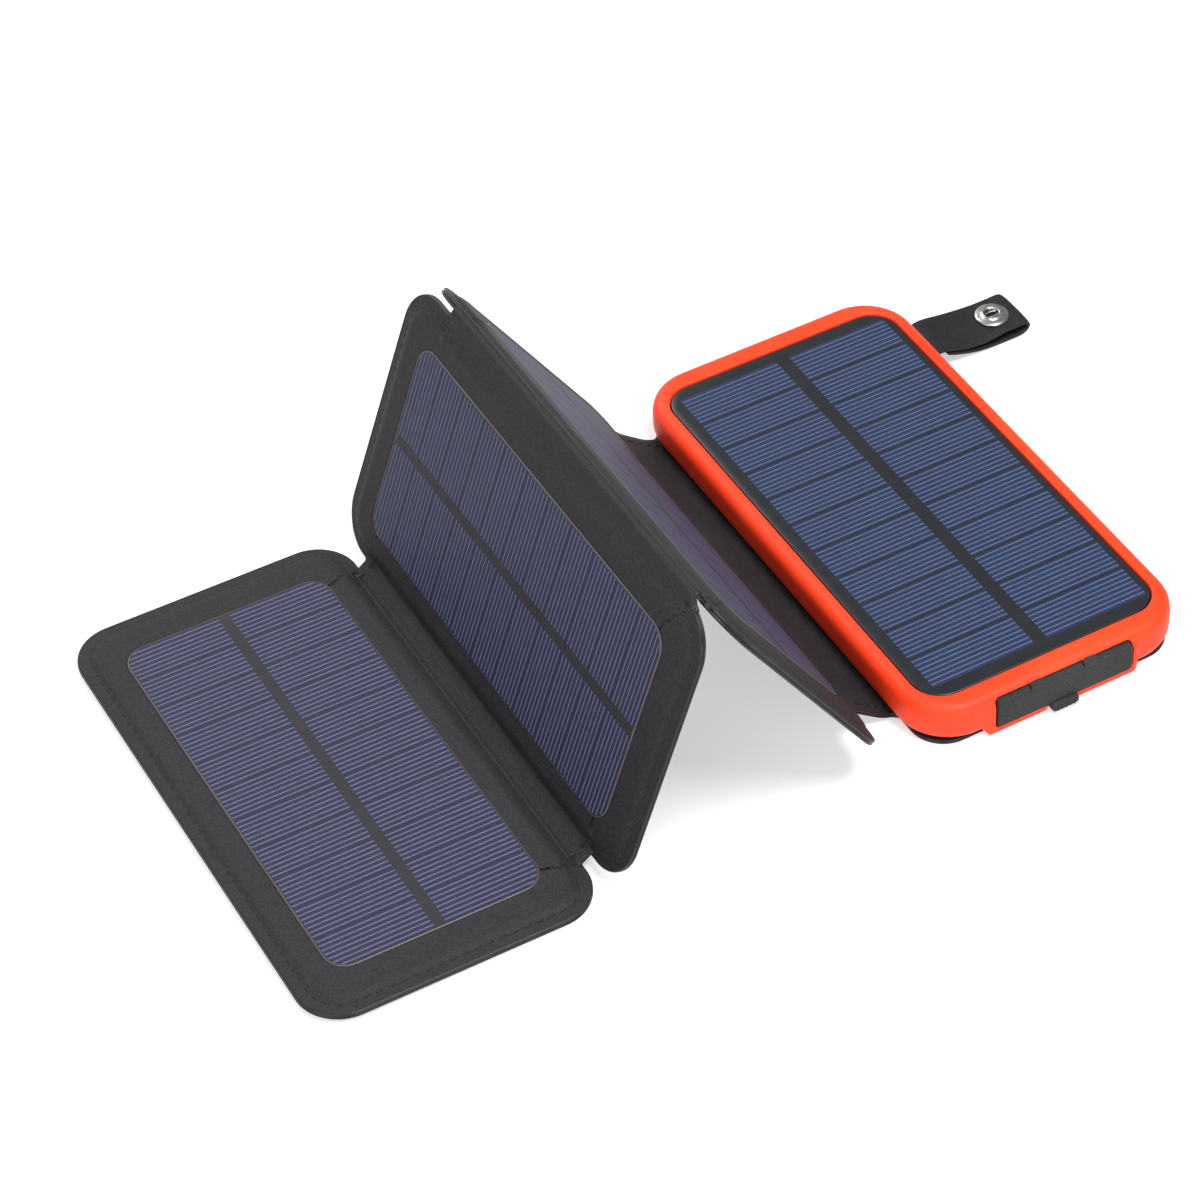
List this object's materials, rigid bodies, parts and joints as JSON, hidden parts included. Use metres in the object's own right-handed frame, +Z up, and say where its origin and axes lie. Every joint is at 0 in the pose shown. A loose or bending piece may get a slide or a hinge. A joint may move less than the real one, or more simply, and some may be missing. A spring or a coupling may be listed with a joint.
{
  "type": "folding solar phone charger",
  "caption": "Power bank with a solar window and an orange bumper, with hinged leather-covered solar panels, a snap strap and a rubber port cover.",
  "frame": {"origin": "centre of the bank's leather base, on its underside (the surface it lies on)", "axes": "+Z up out of the bank's solar window; +Y along the bank's length, away from the sockets; +X across the bank towards the strap, so the panels unfold towards -X"},
  "size_m": [0.286, 0.1539, 0.0813],
  "materials": {
    "leather": "fine-grained black synthetic leather, low sheen",
    "orange_rubber": "smooth satin orange silicone rubber",
    "black_plastic": "matt black moulded plastic",
    "panel_resin": "near-black backing under clear glossy resin",
    "solar_cell": "steel-blue silicon with fine silver contact lines under clear resin",
    "battery_pouch": "satin aluminium laminate pouch",
    "circuit": "green solder mask",
    "black_rubber": "matt black rubber with a fine speckled grain",
    "snap_steel": "aged nickel-plated steel",
    "clear_lens": "clear light pipe",
    "copper": "flat copper lead",
    "stiff_board": "plain stiffening board"
  },
  "bodies": {
    "bank": {"base_leather": "leather", "bumper": "orange_rubber", "case_lower": "black_plastic", "case_upper": "black_plastic", "case_screw_1": "snap_steel", "case_screw_2": "snap_steel", "case_screw_3": "snap_steel", "case_screw_4": "snap_steel", "bank_laminate": "panel_resin", "bank_cells_left": "solar_cell", "bank_cells_right": "solar_cell", "battery_left": "battery_pouch", "battery_right": "battery_pouch", "circuit_board": "circuit", "usb_a_socket_1": "snap_steel", "usb_a_socket_1_tongue": "black_plastic", "usb_a_socket_2": "snap_steel", "usb_a_socket_2_tongue": "black_plastic", "usb_input_socket": "snap_steel", "usb_input_socket_tongue": "black_plastic", "button_switch": "black_plastic", "status_lens_1": "clear_lens", "status_lens_2": "clear_lens", "status_lens_3": "clear_lens", "status_lens_4": "clear_lens"},
    "riser": {"riser_back_skin": "leather", "riser_lead": "copper", "riser_front_skin": "leather"},
    "ridge": {"ridge_back_skin": "leather", "ridge_lead": "copper", "ridge_front_skin": "leather"},
    "valley": {"valley_back_skin": "leather", "valley_lead": "copper", "valley_front_skin": "leather"},
    "panel_1": {"panel_1_back_skin": "leather", "panel_1_board": "stiff_board", "panel_1_front_skin": "leather", "panel_1_laminate": "panel_resin", "panel_1_cells_left": "solar_cell", "panel_1_cells_right": "solar_cell"},
    "panel_2": {"panel_2_back_skin": "leather", "panel_2_board": "stiff_board", "panel_2_front_skin": "leather", "panel_2_laminate": "panel_resin", "panel_2_cells_left": "solar_cell", "panel_2_cells_right": "solar_cell"},
    "panel_3": {"panel_3_back_skin": "leather", "panel_3_board": "stiff_board", "panel_3_front_skin": "leather", "panel_3_laminate": "panel_resin", "panel_3_cells_left": "solar_cell", "panel_3_cells_right": "solar_cell", "panel_3_snap_stud": "snap_steel"},
    "strap": {"strap": "leather", "strap_snap_socket": "snap_steel"},
    "port_cover": {"port_cover": "black_rubber"},
    "power_button": {"power_button": "black_rubber"}
  },
  "joints": [
    {"name": "tongue_fold", "type": "hinge", "parent": "bank", "child": "riser", "pos_m": [-0.0412, 0, 0.001], "axis": [0, 1, 0], "range_deg": [-37.5, 47.5]},
    {"name": "panel_1_fold", "type": "hinge", "parent": "riser", "child": "panel_1", "pos_m": [-0.05326, 0, 0.01025], "axis": [0, 1, 0], "range_deg": [-19.25, 75.75]},
    {"name": "ridge_fold", "type": "hinge", "parent": "panel_1", "child": "ridge", "pos_m": [-0.09729, 0, 0.07741], "axis": [0, -1, 0], "range_deg": [0, 44.05]},
    {"name": "panel_2_fold", "type": "hinge", "parent": "ridge", "child": "panel_2", "pos_m": [-0.09933, 0, 0.08267], "axis": [0, -1, 0], "range_deg": [-126.15, 9.8]},
    {"name": "valley_fold", "type": "hinge", "parent": "panel_2", "child": "valley", "pos_m": [-0.12853, 0, 0.00498], "axis": [0, 1, 0], "range_deg": [-34.2, 55.8]},
    {"name": "panel_3_fold", "type": "hinge", "parent": "valley", "child": "panel_3", "pos_m": [-0.13417, 0, 0.001], "axis": [0, 1, 0], "range_deg": [-35.2, 54.05]},
    {"name": "strap_fold", "type": "hinge", "parent": "bank", "child": "strap", "pos_m": [0.0415, 0.0575, 0.0058], "axis": [0, -1, 0], "range_deg": [0, 84]},
    {"name": "cover_flap", "type": "hinge", "parent": "bank", "child": "port_cover", "pos_m": [0, -0.0764, 0.012], "axis": [-1, 0, 0], "range_deg": [0, 105]},
    {"name": "button_press", "type": "slide", "parent": "bank", "child": "power_button", "axis": [-1, 0, 0], "range_m": [0, 0.0006], "stiffness_N_per_m": 800}
  ]
}
